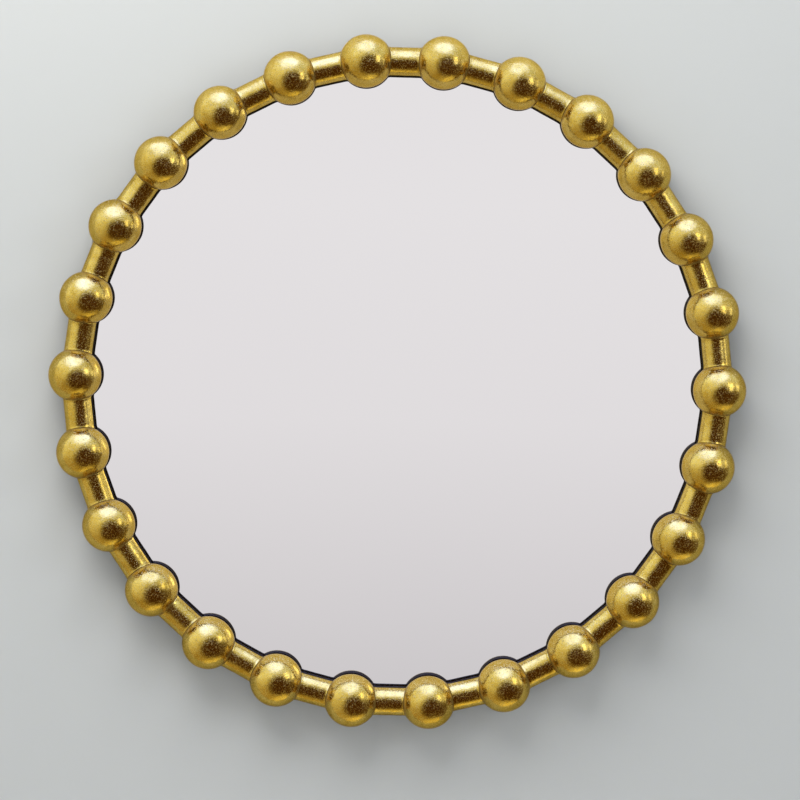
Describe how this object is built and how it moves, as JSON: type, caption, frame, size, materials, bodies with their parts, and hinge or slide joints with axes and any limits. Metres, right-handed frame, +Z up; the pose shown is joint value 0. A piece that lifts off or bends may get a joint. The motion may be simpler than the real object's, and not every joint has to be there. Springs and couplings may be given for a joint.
{
  "type": "wall mirror",
  "caption": "Round wall mirror whose plain glass sits behind a ring of gilded balls joined by half-round gilded rails.",
  "frame": {"origin": "on the wall, behind the middle of the round glass, in the plane that the wall bumpers touch", "axes": "+Z up as hung, -Y towards the viewer through the front of the glass, +X to the viewer's right"},
  "size_m": [0.914, 0.0735, 0.9078],
  "materials": {
    "gold_leaf": "gold leaf over turned wood, burnished, with fine leaf wrinkles",
    "ebonised_wood": "black stain, matt",
    "mirror": "silvered float glass, polished, no bevel",
    "hardboard": "brown fibre board, smooth",
    "foam_tape": "black closed-cell foam",
    "zinc_steel": "zinc plated, lightly worn",
    "screw_steel": "zinc plated",
    "black_rubber": "moulded rubber, matt"
  },
  "bodies": {
    "frame": {"bead_01": "gold_leaf", "bead_02": "gold_leaf", "bead_03": "gold_leaf", "bead_04": "gold_leaf", "bead_05": "gold_leaf", "bead_06": "gold_leaf", "bead_07": "gold_leaf", "bead_08": "gold_leaf", "bead_09": "gold_leaf", "bead_10": "gold_leaf", "bead_11": "gold_leaf", "bead_12": "gold_leaf", "bead_13": "gold_leaf", "bead_14": "gold_leaf", "bead_15": "gold_leaf", "bead_16": "gold_leaf", "bead_17": "gold_leaf", "bead_18": "gold_leaf", "bead_19": "gold_leaf", "bead_20": "gold_leaf", "bead_21": "gold_leaf", "bead_22": "gold_leaf", "bead_23": "gold_leaf", "bead_24": "gold_leaf", "bead_25": "gold_leaf", "bead_26": "gold_leaf", "rails": "gold_leaf", "face_ring": "ebonised_wood", "rebate_ring": "ebonised_wood", "glazing_tape": "foam_tape", "mirror_glass": "mirror", "backing_board": "hardboard", "turn_button_screws": "screw_steel", "bead_screws": "screw_steel", "hanger_strap_left": "zinc_steel", "hanger_strap_right": "zinc_steel", "hanger_screws": "screw_steel", "wall_bumpers": "black_rubber", "bumper_screws": "screw_steel"},
    "turn_button_1": {"turn_button_1": "zinc_steel"},
    "turn_button_2": {"turn_button_2": "zinc_steel"},
    "turn_button_3": {"turn_button_3": "zinc_steel"},
    "turn_button_4": {"turn_button_4": "zinc_steel"},
    "turn_button_5": {"turn_button_5": "zinc_steel"},
    "turn_button_6": {"turn_button_6": "zinc_steel"},
    "hanger_ring_left": {"hanger_ring_left": "zinc_steel"},
    "hanger_ring_right": {"hanger_ring_right": "zinc_steel"}
  },
  "joints": [
    {"name": "turn_button_1_turn", "type": "hinge", "parent": "frame", "child": "turn_button_1", "pos_m": [0.3436, -0.0057, 0.23717], "axis": [0, 1, 0], "continuous": true},
    {"name": "turn_button_2_turn", "type": "hinge", "parent": "frame", "child": "turn_button_2", "pos_m": [0, -0.0057, 0.4175], "axis": [0, 1, 0], "continuous": true},
    {"name": "turn_button_3_turn", "type": "hinge", "parent": "frame", "child": "turn_button_3", "pos_m": [-0.3436, -0.0057, 0.23717], "axis": [0, 1, 0], "continuous": true},
    {"name": "turn_button_4_turn", "type": "hinge", "parent": "frame", "child": "turn_button_4", "pos_m": [-0.3436, -0.0057, -0.23717], "axis": [0, 1, 0], "continuous": true},
    {"name": "turn_button_5_turn", "type": "hinge", "parent": "frame", "child": "turn_button_5", "pos_m": [0, -0.0057, -0.4175], "axis": [0, 1, 0], "continuous": true},
    {"name": "turn_button_6_turn", "type": "hinge", "parent": "frame", "child": "turn_button_6", "pos_m": [0.3436, -0.0057, -0.23717], "axis": [0, 1, 0], "continuous": true},
    {"name": "hanger_ring_left_swing", "type": "hinge", "parent": "frame", "child": "hanger_ring_left", "pos_m": [-0.39458, -0.00369, 0.16864], "axis": [-1, 0, 0], "range_deg": [0, 170]},
    {"name": "hanger_ring_right_swing", "type": "hinge", "parent": "frame", "child": "hanger_ring_right", "pos_m": [0.39458, -0.00369, 0.16864], "axis": [-1, 0, 0], "range_deg": [0, 170]}
  ]
}
